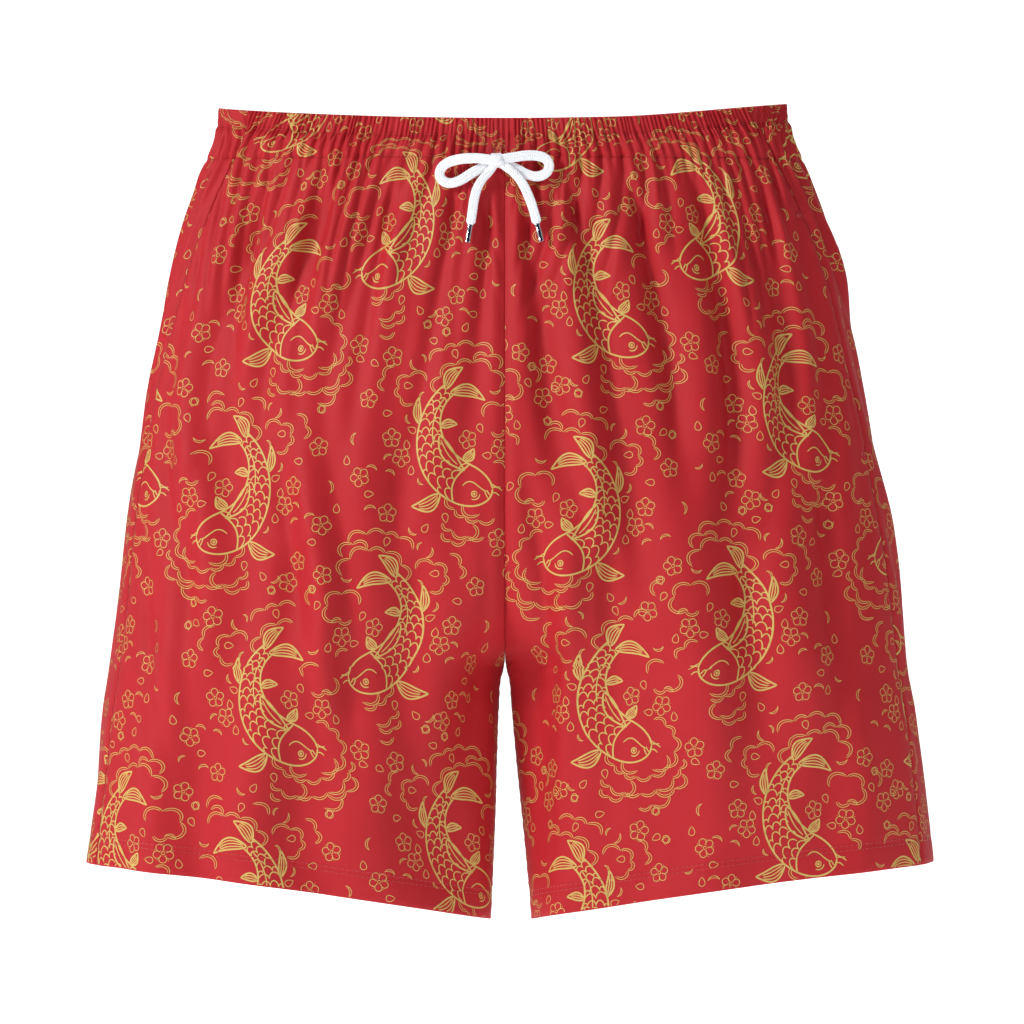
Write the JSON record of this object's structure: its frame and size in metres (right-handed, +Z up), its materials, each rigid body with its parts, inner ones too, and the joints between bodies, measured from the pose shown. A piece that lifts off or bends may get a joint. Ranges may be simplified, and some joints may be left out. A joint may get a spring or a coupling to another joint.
{
  "type": "drawstring shorts",
  "caption": "Loose above-knee shorts with an elastic frilled waistband, a drawcord tied in a bow, side-seam pockets and stitched hems, in red cloth with a gold line print.",
  "frame": {"origin": "centre of the waist opening, in the plane of the waist's top edge", "axes": "+Z up, the front faces -Y, +X is the wearer's left"},
  "size_m": [0.5686, 0.186, 0.5482],
  "materials": {
    "printed_cloth": "fine plain weave, soft sheen, gold line print",
    "red_thread": "sewing thread",
    "pocket_lining": "plain weave lining",
    "elastic": "knitted elastic webbing",
    "white_braid": "flat tubular braid",
    "bright_metal": "nickel-plated crimped tip",
    "label_cloth": "woven satin label"
  },
  "bodies": {
    "shorts": {"front_panel_left": "printed_cloth", "front_panel_right": "printed_cloth", "back_panel_left": "printed_cloth", "back_panel_right": "printed_cloth", "hem_turnup_left": "printed_cloth", "hem_turnup_right": "printed_cloth", "hem_stitching_left": "red_thread", "hem_stitching_right": "red_thread", "side_seam_left": "red_thread", "side_seam_right": "red_thread", "inseam_left": "red_thread", "inseam_right": "red_thread", "waist_seam_left": "red_thread", "waist_seam_right": "red_thread", "pocket_bag_left": "pocket_lining", "pocket_bag_right": "pocket_lining", "pocket_bartacks_left": "red_thread", "pocket_bartacks_right": "red_thread", "front_rise_seam": "red_thread", "back_rise_seam": "red_thread", "waistband_front": "printed_cloth", "waistband_back": "printed_cloth", "waistband_elastic": "elastic", "waistband_stitching": "red_thread", "buttonhole_left": "red_thread", "buttonhole_right": "red_thread", "drawcord_in_channel": "white_braid", "bow_knot": "white_braid", "bow_loop_left": "white_braid", "bow_loop_right": "white_braid", "size_label": "label_cloth", "care_label": "label_cloth"},
    "tail_left": {"cord_tail_left": "white_braid", "aglet_left": "bright_metal"},
    "tail_right": {"cord_tail_right": "white_braid", "aglet_right": "bright_metal"}
  },
  "joints": [
    {"name": "tail_left_lift", "type": "hinge", "parent": "shorts", "child": "tail_left", "pos_m": [0.0014, -0.0716, -0.0412], "axis": [-1, 0, 0], "range_deg": [0, 80]},
    {"name": "tail_right_lift", "type": "hinge", "parent": "shorts", "child": "tail_right", "pos_m": [-0.0098, -0.07, -0.0434], "axis": [-1, 0, 0], "range_deg": [0, 80]}
  ]
}
